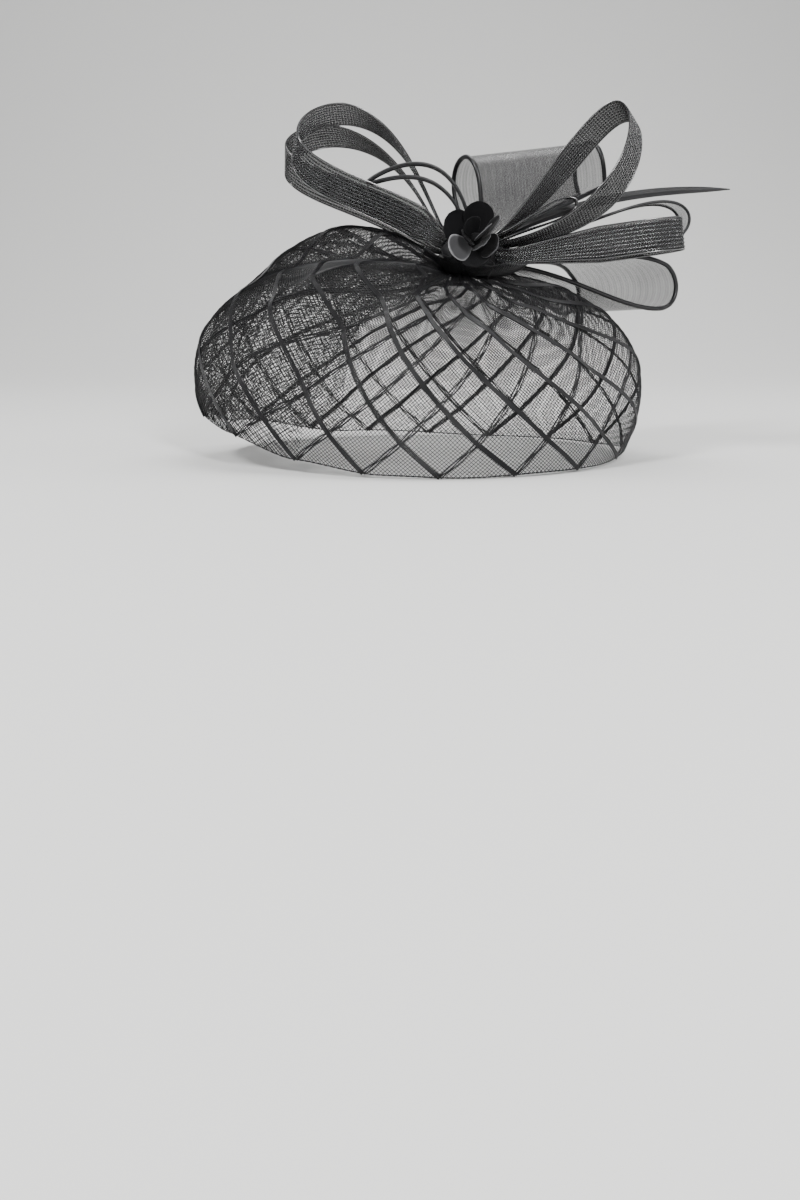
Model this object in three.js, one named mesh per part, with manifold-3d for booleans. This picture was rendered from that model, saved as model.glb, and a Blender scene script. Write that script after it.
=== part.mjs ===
// Fascinator: a gathered net cap with ribbon loops, a quill and a cloth flower on a hair clip.
// Millimetres, +Z up. The origin is under the clip, on the wearer's crown.
// -X is toward the wearer's brow and -Y toward the wearer's left side.
import * as THREE from 'three';
import { mergeVertices } from 'three/addons/utils/BufferGeometryUtils.js';
import Module from 'manifold-3d';

const wasm = await Module();
wasm.setup();

// Driving dimensions
const seatGap = 0.3;
const clothThickness = 1;

// Cap: its hem follows an ellipse round the brow, and its upper edge is drawn up to a ring
const hemCentre = { x: -14, y: 12 };
const hemHalfLength = 97;
const hemHalfBreadth = 82;
const hemLevel = -85;
const ringRadius = 6;
const ringHeight = 5.5;
const arcHandle = 0.55;
const gatherCount = 14;
const gatherDepth = 1.6;
const veilStepsRound = 84;
const veilStepsDown = 14;

// One row for each fold of the cap, by its bearing round the ring from +X through +Y.
// flare and lift move the hem out and up, puff raises the crown beside the ring,
// and shoulderOut and shoulderUp move the bend where the net turns down.
const veilFolds = [
  { bearing: 0, flare: 3, lift: 4, puff: 0, shoulderOut: 28, shoulderUp: 16 },
  { bearing: 35, flare: 2, lift: 1, puff: -6, shoulderOut: 14, shoulderUp: 6 },
  { bearing: 80, flare: 1, lift: 0, puff: -8, shoulderOut: 4, shoulderUp: 0 },
  { bearing: 125, flare: 4, lift: 3, puff: 10, shoulderOut: 10, shoulderUp: 6 },
  { bearing: 160, flare: 14, lift: 14, puff: 62, shoulderOut: 18, shoulderUp: 22 },
  { bearing: 178, flare: 22, lift: 23, puff: 18, shoulderOut: 18, shoulderUp: 24 },
  { bearing: 194, flare: 14, lift: 16, puff: 26, shoulderOut: 14, shoulderUp: 10 },
  { bearing: 212, flare: 3, lift: 6, puff: -6, shoulderOut: 2, shoulderUp: -8 },
  { bearing: 240, flare: 1, lift: 1, puff: -17, shoulderOut: 0, shoulderUp: -9 },
  { bearing: 270, flare: 1, lift: 0, puff: -17, shoulderOut: 0, shoulderUp: -9 },
  { bearing: 300, flare: 1, lift: 1, puff: -17, shoulderOut: 0, shoulderUp: -9 },
  { bearing: 330, flare: 1, lift: 1, puff: -10, shoulderOut: 6, shoulderUp: -2 },
];

// Hair clip
const clipLength = 30;
const clipWidth = 7;
const clipThickness = 1.6;
const clipBearing = 170;

// Tie: a stem through the ring and the bound bundle of ribbon ends above it
const stemRadius = 5.4;
const tieCentre = new THREE.Vector3(6, 4, 17.5);
const tieHalfLength = 16;
const tieHalfBreadth = 9;
const tieHalfHeight = 9;

// Ribbon loops
const ribbonWidth = 17;
const wideRibbonWidth = 74;
const gatheredWidth = 5;
const rootGap = 3;
const rootTurn = 0.32;
const loopSteps = 34;

// One row for each loop. root is where it leaves the tie. bearing and rise aim its axis, plane turns it
// about that axis and tilt about its opening. reach and spread are its length and opening, bow bends
// its axis, sway shifts a ribbon along its own width, twist turns its two ends opposite ways,
// openBy is the part of the reach where the ribbon has its full width, and bulb moves its widest
// place outward.
const ribbonLoops = [
  { name: 'loop_left_front', root: [-7, 0, 20], bearing: 175, rise: 40, plane: 38, tilt: -11,
    reach: 90, spread: 43, bow: 8, width: ribbonWidth, sway: -10, twist: 30, openBy: 0.9, bulb: 2 },
  { name: 'loop_left_back', root: [-7, 6, 15.5], bearing: 171, rise: 37, plane: 40, tilt: -15,
    reach: 96, spread: 35, bow: 12, width: ribbonWidth, sway: -12, twist: 30, openBy: 0.9, bulb: 2 },
  { name: 'loop_left_thin', root: [4, 4.5, 25], bearing: 180, rise: 25, plane: 0, tilt: 0,
    reach: 56, spread: 5, bow: 17, width: 9, sway: 0, twist: 0, openBy: 0.7, bulb: 1 },
  { name: 'loop_centre_wide', root: [10, 7, 20], bearing: 122, rise: 82, plane: -6, tilt: 7,
    reach: 42, spread: 24, bow: -2, width: wideRibbonWidth, sway: 35, twist: 0, openBy: 0.45, bulb: 1 },
  { name: 'loop_right_upper', root: [18, 3, 20], bearing: 358, rise: 39.5, plane: -40, tilt: -5,
    reach: 85, spread: 30, bow: -11, width: ribbonWidth, sway: 3, twist: 0, openBy: 0.6, bulb: 1 },
  { name: 'loop_right_curl', root: [18, -2.5, 22.5], bearing: 0, rise: 25, plane: 0, tilt: 0,
    reach: 41, spread: 7, bow: 0, width: 6, sway: 0, twist: 0, openBy: 0.7, bulb: 3 },
  { name: 'loop_right_middle', root: [18, -4, 13], bearing: 355, rise: 7.5, plane: 84, tilt: 0,
    reach: 89, spread: 14, bow: 0, width: 15, sway: 0, twist: 0, openBy: 0.55, bulb: 2 },
  { name: 'loop_right_thin', root: [18, 8, 17], bearing: 14, rise: 9, plane: -3, tilt: -8,
    reach: 96, spread: 20, bow: -1, width: ribbonWidth, sway: 1, twist: 0, openBy: 0.6, bulb: 3 },
  { name: 'loop_right_wide', root: [18, 6, 12], bearing: 28, rise: -11, plane: -4, tilt: 5,
    reach: 87, spread: 23, bow: 2, width: wideRibbonWidth, sway: 2, twist: 0, openBy: 0.9, bulb: 3 },
];

// Quill
const quillReach = 118;
const quillRise = 26;
const quillWidth = 4.6;
const quillThickness = 1.2;
const quillBend = 2.5;
const quillRoot = new THREE.Vector3(14, 7, 20);
const quillSteps = 24;

// Flower
const flowerBase = new THREE.Vector3(6, -8.5, 20);
const flowerAxis = new THREE.Vector3(0, -0.95, 0.3).normalize();
const petalThickness = 1;
const petalStepsAlong = 6;
const petalStepsAcross = 4;
const budRadius = 4;
const budHalfLength = 8;
const budForward = 2;

// One row for each ring of petals: how far the ring is raised along the flower's axis, how far each
// petal leans from that axis, its size, how deep it is cupped and how far it is turned on its length.
const petalRings = [
  { count: 6, firstBearing: 85, raise: 0, lean: 73, start: 2, length: 17.5, width: 12.5, cup: 2, turn: 27 },
  { count: 4, firstBearing: 120, raise: 3, lean: 35, start: 4, length: 10, width: 8, cup: 1.4, turn: 18 },
];

const black = (roughness) => new THREE.MeshStandardMaterial({ color: 0x0b0b0c, roughness, metalness: 0 });
const radians = THREE.MathUtils.degToRad;

// Solids

function toSolid(positions, triangles) {
  const mesh = new wasm.Mesh({
    numProp: 3,
    vertProperties: new Float32Array(positions),
    triVerts: new Uint32Array(triangles),
  });
  return new wasm.Manifold(mesh);
}

function solidFromGeometry(geometry) {
  const bare = geometry.clone();
  bare.deleteAttribute('normal');
  bare.deleteAttribute('uv');
  const merged = mergeVertices(bare, 1e-4);
  return toSolid(merged.attributes.position.array, merged.index.array);
}

function geometryFromSolid(solid) {
  const mesh = solid.getMesh();
  const geometry = new THREE.BufferGeometry();
  geometry.setAttribute('position', new THREE.BufferAttribute(new Float32Array(mesh.vertProperties), 3));
  geometry.setIndex(new THREE.BufferAttribute(new Uint32Array(mesh.triVerts), 1));
  geometry.computeVertexNormals();
  return geometry;
}

// A wall of even thickness about a grid of points. rows[i][j] is a point, and closed joins
// the last row to the first.
function wallSolid(rows, thickness, closed) {
  const rowCount = rows.length;
  const columnCount = rows[0].length;
  const at = (i, j) => rows[closed ? (i + rowCount) % rowCount : THREE.MathUtils.clamp(i, 0, rowCount - 1)]
    [THREE.MathUtils.clamp(j, 0, columnCount - 1)];
  const positions = [];
  for (const side of [0.5, -0.5]) {
    for (let i = 0; i < rowCount; i += 1) {
      for (let j = 0; j < columnCount; j += 1) {
        const along = at(i + 1, j).clone().sub(at(i - 1, j));
        const across = at(i, j + 1).clone().sub(at(i, j - 1));
        const normal = along.cross(across).normalize();
        const point = at(i, j).clone().addScaledVector(normal, side * thickness);
        positions.push(point.x, point.y, point.z);
      }
    }
  }
  const under = rowCount * columnCount;
  const index = (i, j) => (i % rowCount) * columnCount + j;
  const triangles = [];
  const quad = (a, b, c, d) => triangles.push(a, b, c, a, c, d);
  const lastRow = closed ? rowCount : rowCount - 1;
  const lastColumn = columnCount - 1;
  for (let i = 0; i < lastRow; i += 1) {
    for (let j = 0; j < lastColumn; j += 1) {
      const [a, b, c, d] = [index(i, j), index(i + 1, j), index(i + 1, j + 1), index(i, j + 1)];
      quad(a, b, c, d);
      quad(under + d, under + c, under + b, under + a);
    }
    quad(index(i + 1, 0), index(i, 0), under + index(i, 0), under + index(i + 1, 0));
    const [e, f] = [index(i, lastColumn), index(i + 1, lastColumn)];
    quad(e, f, under + f, under + e);
  }
  if (!closed) {
    for (let j = 0; j < lastColumn; j += 1) {
      quad(index(0, j), index(0, j + 1), under + index(0, j + 1), under + index(0, j));
      const [e, f] = [index(lastRow, j), index(lastRow, j + 1)];
      quad(f, e, under + e, under + f);
    }
  }
  return toSolid(positions, triangles);
}

// Cap

// Distance from the ring's axis to the hem ellipse along a bearing
function hemDistance(angle) {
  const x = Math.cos(angle) / hemHalfLength;
  const y = Math.sin(angle) / hemHalfBreadth;
  const cx = hemCentre.x / hemHalfLength;
  const cy = hemCentre.y / hemHalfBreadth;
  const a = x * x + y * y;
  const b = x * cx + y * cy;
  const c = cx * cx + cy * cy - 1;
  return (b + Math.sqrt(b * b - a * c)) / a;
}

// A fold's sizes at any bearing, eased between the two rows beside it
function foldAt(bearing, column) {
  const count = veilFolds.length;
  const turn = 360;
  let i = count - 1;
  while (i > 0 && veilFolds[i].bearing > bearing) i -= 1;
  const here = veilFolds[i];
  const next = veilFolds[(i + 1) % count];
  const span = (next.bearing - here.bearing + turn) % turn;
  const t = (bearing - here.bearing) / span;
  const eased = t * t * (3 - 2 * t);
  return here[column] + (next[column] - here[column]) * eased;
}

// A point of the cap: bearing in degrees, and down from 0 at the ring to 1 at the hem
function veilPoint(bearing, down) {
  const angle = radians(bearing);
  const hem = {
    r: hemDistance(angle) + foldAt(bearing, 'flare'),
    z: hemLevel + foldAt(bearing, 'lift'),
  };
  const crown = {
    r: ringRadius + arcHandle * (hem.r - ringRadius),
    z: ringHeight + foldAt(bearing, 'puff'),
  };
  const shoulder = {
    r: hem.r + foldAt(bearing, 'shoulderOut'),
    z: hem.z + arcHandle * (ringHeight - hem.z) + foldAt(bearing, 'shoulderUp'),
  };
  const up = 1 - down;
  const [w0, w1, w2, w3] = [up ** 3, 3 * up * up * down, 3 * up * down * down, down ** 3];
  const r = w0 * ringRadius + w1 * crown.r + w2 * shoulder.r + w3 * hem.r;
  const z = w0 * ringHeight + w1 * crown.z + w2 * shoulder.z + w3 * hem.z;
  const gather = gatherDepth * Math.sin(Math.PI * Math.sqrt(down)) ** 2 * up;
  const lift = gather * Math.cos(gatherCount * angle);
  return new THREE.Vector3(r * Math.cos(angle), r * Math.sin(angle), z + lift);
}

function veilSolid() {
  const rows = [];
  for (let i = 0; i < veilStepsRound; i += 1) {
    const bearing = (360 * i) / veilStepsRound;
    const row = [];
    for (let j = 0; j <= veilStepsDown; j += 1) row.push(veilPoint(bearing, j / veilStepsDown));
    rows.push(row);
  }
  return wallSolid(rows, clothThickness, true);
}

// Clip and tie

function clipGeometry() {
  const half = clipLength / 2 - clipWidth / 2;
  const outline = new THREE.Shape();
  outline.absarc(half, 0, clipWidth / 2, -Math.PI / 2, Math.PI / 2);
  outline.absarc(-half, 0, clipWidth / 2, Math.PI / 2, 1.5 * Math.PI);
  outline.closePath();
  return new THREE.ExtrudeGeometry(outline, { depth: clipThickness, bevelEnabled: false, curveSegments: 10 });
}

function tieSolid(grow) {
  const ball = new THREE.SphereGeometry(1, 20, 12);
  ball.rotateX(Math.PI / 2);
  ball.scale(tieHalfLength + grow, tieHalfBreadth + grow, tieHalfHeight + grow);
  ball.translate(tieCentre.x, tieCentre.y, tieCentre.z);
  const stemBase = clipThickness + seatGap;
  const stemHeight = tieCentre.z - tieHalfHeight / 2 - stemBase;
  const stem = new THREE.CylinderGeometry(stemRadius + grow, stemRadius + grow, stemHeight, 20);
  stem.rotateX(Math.PI / 2);
  stem.translate(0, 0, stemBase + stemHeight / 2);
  return solidFromGeometry(ball).add(solidFromGeometry(stem));
}

const tieKeepout = tieSolid(seatGap);

// Ribbon loops

// The unit vectors of a loop: along its axis, across its opening, and along the ribbon's width
function loopFrame({ bearing, rise, plane, tilt }) {
  const [h, e, p, t] = [bearing, rise, plane, tilt].map(radians);
  const axis = new THREE.Vector3(Math.cos(e) * Math.cos(h), Math.cos(e) * Math.sin(h), Math.sin(e));
  const upward = new THREE.Vector3(-Math.sin(e) * Math.cos(h), -Math.sin(e) * Math.sin(h), Math.cos(e));
  const level = new THREE.Vector3().crossVectors(axis, upward);
  const opening = upward.clone().multiplyScalar(Math.cos(p)).addScaledVector(level, Math.sin(p));
  const width = level.clone().multiplyScalar(Math.cos(p)).addScaledVector(upward, -Math.sin(p));
  return {
    axis: axis.clone().multiplyScalar(Math.cos(t)).addScaledVector(width, -Math.sin(t)),
    opening,
    width: width.clone().multiplyScalar(Math.cos(t)).addScaledVector(axis, Math.sin(t)),
  };
}

// The teardrop's half opening, scaled so that its largest value is 1
function teardrop(turn, bulb) {
  const widest = Math.acos(-bulb / (bulb + 2));
  const shape = (angle) => Math.sin(angle) * Math.sin(angle / 2) ** bulb;
  return shape(turn) / shape(widest);
}

function loopRows(loop) {
  const { axis, opening, width } = loopFrame(loop);
  const root = new THREE.Vector3(...loop.root);
  const acrossSteps = loop.width > ribbonWidth ? 3 : 1;
  const rows = [];
  for (let i = 0; i <= loopSteps; i += 1) {
    const turn = rootTurn + ((2 * Math.PI - 2 * rootTurn) * i) / loopSteps;
    const out = (1 - Math.cos(turn)) / 2;
    const open = Math.min(1, out / loop.openBy);
    const half = (gatheredWidth + (loop.width - gatheredWidth) * open) / 2;
    const offset = (loop.spread / 2) * teardrop(turn, loop.bulb) + (rootGap / 2) * Math.cos(turn / 2)
      + loop.bow * 4 * out * (1 - out);
    const centre = root.clone().addScaledVector(axis, loop.reach * out)
      .addScaledVector(opening, offset).addScaledVector(width, loop.sway * open);
    const swing = radians(loop.twist) * Math.cos(turn / 2);
    const across = width.clone().multiplyScalar(Math.cos(swing)).addScaledVector(opening, Math.sin(swing));
    const row = [];
    for (let j = 0; j <= acrossSteps; j += 1) {
      row.push(centre.clone().addScaledVector(across, half * ((2 * j) / acrossSteps - 1)));
    }
    rows.push(row);
  }
  return rows;
}

function loopSolid(loop) {
  return wallSolid(loopRows(loop), clothThickness, false).subtract(tieKeepout);
}

// Quill

function quillSolid() {
  const rows = [];
  for (let i = 0; i <= quillSteps; i += 1) {
    const out = i / quillSteps;
    const rise = quillRise * (1 - (1 - out) ** quillBend);
    const half = (quillWidth / 2) * Math.max(0.12, Math.min(1, 0.35 + 2 * out) * Math.sqrt(1 - out ** 4));
    const centre = quillRoot.clone().add(new THREE.Vector3(quillReach * out, 0, rise));
    const up = new THREE.Vector3(0, 0, half);
    rows.push([centre.clone().sub(up), centre.clone().add(up)]);
  }
  return wallSolid(rows, quillThickness, false).subtract(tieKeepout);
}

// Flower

// Carries the flower's own directions, with its axis along +Z, to its place on the tie
function flowerPose(bearing, raise) {
  const stand = new THREE.Quaternion().setFromUnitVectors(new THREE.Vector3(0, 0, 1), flowerAxis);
  return new THREE.Matrix4().makeRotationFromQuaternion(stand).setPosition(flowerBase)
    .multiply(new THREE.Matrix4().makeTranslation(0, 0, raise))
    .multiply(new THREE.Matrix4().makeRotationZ(radians(bearing)));
}

function budSolid(grow) {
  const bud = new THREE.SphereGeometry(1, 14, 10);
  bud.rotateX(Math.PI / 2);
  bud.scale(budRadius + grow, budRadius + grow, budHalfLength + grow);
  bud.applyMatrix4(flowerPose(0, budForward));
  return solidFromGeometry(bud);
}

const budKeepout = budSolid(seatGap);

// A cupped petal that grows out of the bud
function petalSolid({ raise, lean, start, length, width, cup, turn }, bearing) {
  const pose = flowerPose(bearing, raise)
    .multiply(new THREE.Matrix4().makeRotationY(radians(lean - 90)))
    .multiply(new THREE.Matrix4().makeRotationX(radians(turn)));
  const rows = [];
  for (let i = 0; i <= petalStepsAlong; i += 1) {
    const out = (1 - Math.cos((Math.PI * i) / petalStepsAlong)) / 2;
    const half = (width / 2) * Math.max(0.1, Math.sin(Math.PI * out ** 1.5) ** 0.6);
    const row = [];
    for (let j = 0; j <= petalStepsAcross; j += 1) {
      const side = (2 * j) / petalStepsAcross - 1;
      const height = cup * side * side * (half / width) + cup * out * out;
      row.push(new THREE.Vector3(start + length * out, half * side, height).applyMatrix4(pose));
    }
    rows.push(row);
  }
  return wallSolid(rows, petalThickness, false).subtract(budKeepout).subtract(tieKeepout);
}

// Assembly

const fascinator = new THREE.Group();

function addPiece(name, geometry, roughness) {
  const mesh = new THREE.Mesh(geometry, black(roughness));
  mesh.name = name;
  fascinator.add(mesh);
  return mesh;
}

const netRoughness = 0.45;
const ribbonRoughness = 0.4;
const velvetRoughness = 0.95;
const metalRoughness = 0.35;

addPiece('veil', geometryFromSolid(veilSolid()), netRoughness);
addPiece('hair_clip', clipGeometry(), metalRoughness).rotation.z = radians(clipBearing);
addPiece('centre_tie', geometryFromSolid(tieSolid(0)), velvetRoughness);
for (const loop of ribbonLoops) addPiece(loop.name, geometryFromSolid(loopSolid(loop)), ribbonRoughness);
addPiece('quill', geometryFromSolid(quillSolid()), ribbonRoughness);

let petalNumber = 0;
for (const ring of petalRings) {
  for (let k = 0; k < ring.count; k += 1) {
    petalNumber += 1;
    const petal = petalSolid(ring, ring.firstBearing + (360 * k) / ring.count);
    addPiece(`petal_${petalNumber}`, geometryFromSolid(petal), velvetRoughness);
  }
}
addPiece('flower_bud', geometryFromSolid(budSolid(0).subtract(tieKeepout)), velvetRoughness);

export default fascinator;
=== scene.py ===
# %% [markdown]
# # A black fascinator
# A fascinator is a small dress hat that a clip holds on the crown. This one has a cap of window-pane
# net that is gathered to one point, loops of braided and sheer ribbon, a slim quill and a velvet flower.
# The solids of the part come first: they fix every place and size, and the cloth is then made on them.

# %% Load the solids
import math

import bpy
import numpy as np
from mathutils import Matrix, Vector


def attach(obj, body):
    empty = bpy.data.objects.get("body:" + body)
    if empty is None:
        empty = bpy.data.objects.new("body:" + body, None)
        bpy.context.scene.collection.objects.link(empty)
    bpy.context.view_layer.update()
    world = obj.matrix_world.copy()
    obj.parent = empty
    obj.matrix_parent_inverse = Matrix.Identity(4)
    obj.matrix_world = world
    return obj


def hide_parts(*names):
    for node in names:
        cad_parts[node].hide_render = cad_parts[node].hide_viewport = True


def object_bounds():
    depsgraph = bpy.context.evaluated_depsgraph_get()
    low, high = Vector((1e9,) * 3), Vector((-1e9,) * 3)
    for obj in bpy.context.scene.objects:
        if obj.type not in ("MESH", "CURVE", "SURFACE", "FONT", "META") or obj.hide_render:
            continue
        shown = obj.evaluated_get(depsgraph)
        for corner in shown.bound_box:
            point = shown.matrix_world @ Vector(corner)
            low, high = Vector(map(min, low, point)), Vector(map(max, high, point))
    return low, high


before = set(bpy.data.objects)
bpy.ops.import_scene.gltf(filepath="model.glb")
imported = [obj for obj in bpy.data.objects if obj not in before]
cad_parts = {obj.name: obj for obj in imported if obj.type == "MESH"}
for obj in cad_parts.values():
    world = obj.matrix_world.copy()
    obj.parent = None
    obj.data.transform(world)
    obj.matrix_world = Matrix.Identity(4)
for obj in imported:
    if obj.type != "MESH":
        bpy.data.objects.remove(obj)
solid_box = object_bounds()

MM = 0.001
print("solids:", len(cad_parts), "box in mm:", [round(x / MM) for x in solid_box[1] - solid_box[0]])

# %% [markdown]
# ## Camera, floor and light
# The camera stands in front, level with the crown, and looks down a little, so the net shows its front
# and the loops are seen almost from the side. Black cloth shows its weave only where something pale is
# reflected in it. A dark room would hide it, so the floor and the backdrop are pale paper, and soft
# lamps stand round the hat.

# %% Camera
camera_place = (-0.0305, -0.616, 0.0014)
look_down = math.radians(14.8)
camera_data = bpy.data.cameras.new("camera")
camera_data.lens = 36
camera_data.sensor_width = 36
camera_data.clip_start = 0.01
camera = bpy.data.objects.new("camera", camera_data)
camera.location = camera_place
camera.rotation_euler = (math.pi / 2 - look_down, 0, 0)
bpy.context.scene.collection.objects.link(camera)
bpy.context.scene.camera = camera
print("camera looks down", round(math.degrees(look_down), 1), "degrees")


# %% Floor
def plain_material(name, colour, roughness):
    material = bpy.data.materials.new(name)
    material.use_nodes = True
    shader = material.node_tree.nodes["Principled BSDF"]
    shader.inputs["Base Color"].default_value = (*colour, 1)
    shader.inputs["Roughness"].default_value = roughness
    return material


floor_size = 12
floor_middle = -4.6
floor_drop = 0.0006
paper_colour = (0.62, 0.62, 0.61)
paper_roughness = 0.85
floor_level = solid_box[0].z - floor_drop
bpy.ops.object.select_all(action="DESELECT")
bpy.ops.mesh.primitive_plane_add(size=floor_size, location=(0, floor_middle, floor_level))
floor = bpy.context.object
floor.name = "floor"
floor.data.materials.append(plain_material("pale_paper", paper_colour, paper_roughness))
print("floor at", round(floor_level / MM, 1), "mm")

# %% [markdown]
# The backdrop is the floor's far edge pulled up to a wall. A wide bevel turns the corner between them
# into a sweep, so no line shows behind the hat.

# %% Backdrop
wall_height = 3
sweep_width = 0.9
sweep_steps = 16
bpy.ops.object.mode_set(mode="EDIT")
bpy.ops.mesh.select_all(action="DESELECT")
bpy.ops.object.mode_set(mode="OBJECT")
for edge in floor.data.edges:
    edge.select = all(floor.data.vertices[v].co.y > 0 for v in edge.vertices)
bpy.ops.object.mode_set(mode="EDIT")
bpy.ops.mesh.select_mode(type="EDGE")
bpy.ops.mesh.extrude_region_move(TRANSFORM_OT_translate={"value": (0, 0, wall_height)})
bpy.ops.object.mode_set(mode="OBJECT")
bevel = floor.modifiers.new("sweep", "BEVEL")
bevel.width = sweep_width
bevel.segments = sweep_steps
bevel.limit_method = "ANGLE"
bpy.ops.object.modifier_apply(modifier="sweep")
bpy.ops.object.shade_smooth()
print("floor and wall faces:", len(floor.data.polygons))


# %% Lamps
def soft_lamp(name, place, aim, size, watts):
    data = bpy.data.lights.new(name, "AREA")
    data.shape = "RECTANGLE"
    data.size, data.size_y = size
    data.energy = watts
    lamp = bpy.data.objects.new(name, data)
    lamp.location = place
    direction = Vector(aim) - Vector(place)
    lamp.rotation_euler = direction.to_track_quat("-Z", "Y").to_euler()
    bpy.context.scene.collection.objects.link(lamp)


hat_middle = (-0.02, 0.01, 0.02)
backdrop_middle = (0, 1.4, 0.3)

# place, aim, size and watts
lamp_rows = {
    "key_lamp": ((-0.6, -0.5, 0.7), hat_middle, (0.2, 0.26), 11),
    "front_lamp": ((0.3, -0.9, 0.5), hat_middle, (0.15, 0.4), 12),
    "top_lamp": ((0.1, 0.35, 0.9), hat_middle, (0.8, 0.4), 9),
    "side_lamp": ((0.9, 0.1, 0.35), hat_middle, (0.3, 0.8), 4),
    "backdrop_lamp": ((0, 0.5, 1.6), backdrop_middle, (2.0, 0.6), 14),
}
for name, row in lamp_rows.items():
    soft_lamp(name, *row)
print("lamps:", len(lamp_rows))

# %% Room light
room_colour = (0.8, 0.8, 0.82, 1)
room_strength = 0.28
world = bpy.data.worlds.new("room")
bpy.context.scene.world = world
world.use_nodes = True
world.node_tree.nodes["Background"].inputs["Color"].default_value = room_colour
world.node_tree.nodes["Background"].inputs["Strength"].default_value = room_strength
print("room light:", room_strength)

# %% [markdown]
# ## Writing shader maths as sums
# A finish such as a weave is a sum of waves. Wiring each wave by hand takes many nodes, so one small
# class wraps a socket, and plus, times and divide on it add the Math nodes.


# %% Shader maths
class Wire:
    """A socket of a finish that can be added, multiplied and divided like a number."""

    def __init__(self, finish, socket):
        self.finish = finish
        self.socket = socket

    def combine(self, operation, *values):
        return self.finish.node("ShaderNodeMath", {"operation": operation}, list(values))

    def __add__(self, other):
        return self.combine("ADD", self, other)

    def __mul__(self, other):
        return self.combine("MULTIPLY", self, other)

    def __truediv__(self, other):
        return self.combine("DIVIDE", self, other)

    def wave(self):
        """A wave from 0 to 1 and back for each whole step of this value."""
        return self.combine("COSINE", self * (2 * math.pi)) * -0.5 + 0.5

    def step(self, low, high):
        """Rises smoothly from 0 at low to 1 at high."""
        settings = {"interpolation_type": "SMOOTHSTEP"}
        sockets = {"Value": self, "From Min": low, "From Max": high}
        return self.finish.node("ShaderNodeMapRange", settings, sockets)


print("a wire can add, multiply, divide, wave and step")

# %% [markdown]
# A finish is a material with a few short methods. Cloth carries three numbers at each point, so that a
# weave can follow a bent ribbon: the places along and across a ribbon, and how near a petal's rim is.

# %% Materials
cloth_axes = {"along": "X", "across": "Y", "rim": "Z"}
mix_share, mix_first, mix_second, mix_colour = 0, 6, 7, 2


class Finish:
    """A material with its Principled shader, and one method that makes any other node."""

    def __init__(self, name, **constants):
        self.material = bpy.data.materials.new(name)
        self.material.use_nodes = True
        self.tree = self.material.node_tree
        self.shader = self.tree.nodes["Principled BSDF"]
        for socket, value in constants.items():
            self.shader.inputs[socket.replace("_", " ")].default_value = value

    def node(self, kind, settings=None, sockets=None, output=0):
        made = self.tree.nodes.new(kind)
        for key, value in (settings or {}).items():
            setattr(made, key, value)
        pairs = enumerate(sockets) if isinstance(sockets, list) else (sockets or {}).items()
        for key, value in pairs:
            if isinstance(value, Wire):
                self.tree.links.new(value.socket, made.inputs[key])
            else:
                made.inputs[key].default_value = value
        return Wire(self, made.outputs[output])

    def feed(self, socket, wire):
        self.tree.links.new(wire.socket, self.shader.inputs[socket])

    def blend(self, share, first, second):
        """A colour from first, where share is 0, to second, where it is 1."""
        sockets = {mix_share: share, mix_first: (*first, 1), mix_second: (*second, 1)}
        return self.node("ShaderNodeMix", {"data_type": "RGBA"}, sockets, output=mix_colour)

    def place(self):
        """The point of the piece that is shaded, in metres."""
        return self.node("ShaderNodeTexCoord", output="Object")

    def axis(self, vector, letter):
        return self.node("ShaderNodeSeparateXYZ", None, [vector], output=letter)

    def noise(self, spots, detail=2.0):
        """Soft random variation over the piece, with so many spots in a metre."""
        sockets = {"Vector": self.place(), "Scale": spots, "Detail": detail}
        return self.node("ShaderNodeTexNoise", None, sockets)

    def rough(self, cause, least, span):
        """Roughness that goes from least up by span as cause goes from 0 to 1."""
        self.feed("Roughness", cause * span + least)

    def bump(self, height, distance, strength=0.6):
        sockets = {"Height": height, "Distance": distance, "Strength": strength}
        self.feed("Normal", self.node("ShaderNodeBump", None, sockets))

    def carried(self, number):
        """One of the three numbers that cloth carries at each point."""
        source = self.node("ShaderNodeAttribute", {"attribute_name": "cloth"}, output="Vector")
        return self.axis(source, cloth_axes[number])


print("cloth carries", ", ".join(cloth_axes))

# %% [markdown]
# ## Meshes from rows of numbers
# Net and ribbon follow curved surfaces that are written as functions, so their points come as arrays.
# A few helpers turn them into meshes: a strip with two faces and a rim, and a bundle of thin tubes.


# %% Pieces that ride on the part
def settle(piece, nodes=()):
    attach(piece, "root")
    if nodes:
        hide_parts(*nodes)
    return piece


def triangles_of(piece):
    return sum(len(p.vertices) - 2 for p in piece.data.polygons)


def new_piece(name, shape, nodes=()):
    """A mesh object from a pair: points in millimetres, and groups of faces with the same corner count."""
    points, groups = shape
    corners = np.concatenate([f.ravel() for f in groups])
    counts = np.concatenate([np.full(len(f), f.shape[1]) for f in groups])
    starts = np.concatenate([[0], np.cumsum(counts)[:-1]])
    mesh = bpy.data.meshes.new(name)
    mesh.vertices.add(len(points))
    mesh.vertices.foreach_set("co", (points * MM).astype(np.float32).ravel())
    mesh.loops.add(len(corners))
    mesh.loops.foreach_set("vertex_index", corners.astype(np.int32))
    mesh.polygons.add(len(counts))
    mesh.polygons.foreach_set("loop_start", starts.astype(np.int32))
    mesh.update(calc_edges=True)
    mesh.validate()
    mesh.shade_smooth()
    piece = bpy.data.objects.new(name, mesh)
    bpy.context.scene.collection.objects.link(piece)
    return settle(piece, nodes)


print("meshes so far:", len(bpy.data.meshes))

# %% Tubes
tiny = 1e-9


def unit(vectors):
    return vectors / np.maximum(np.linalg.norm(vectors, axis=-1, keepdims=True), tiny)


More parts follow.
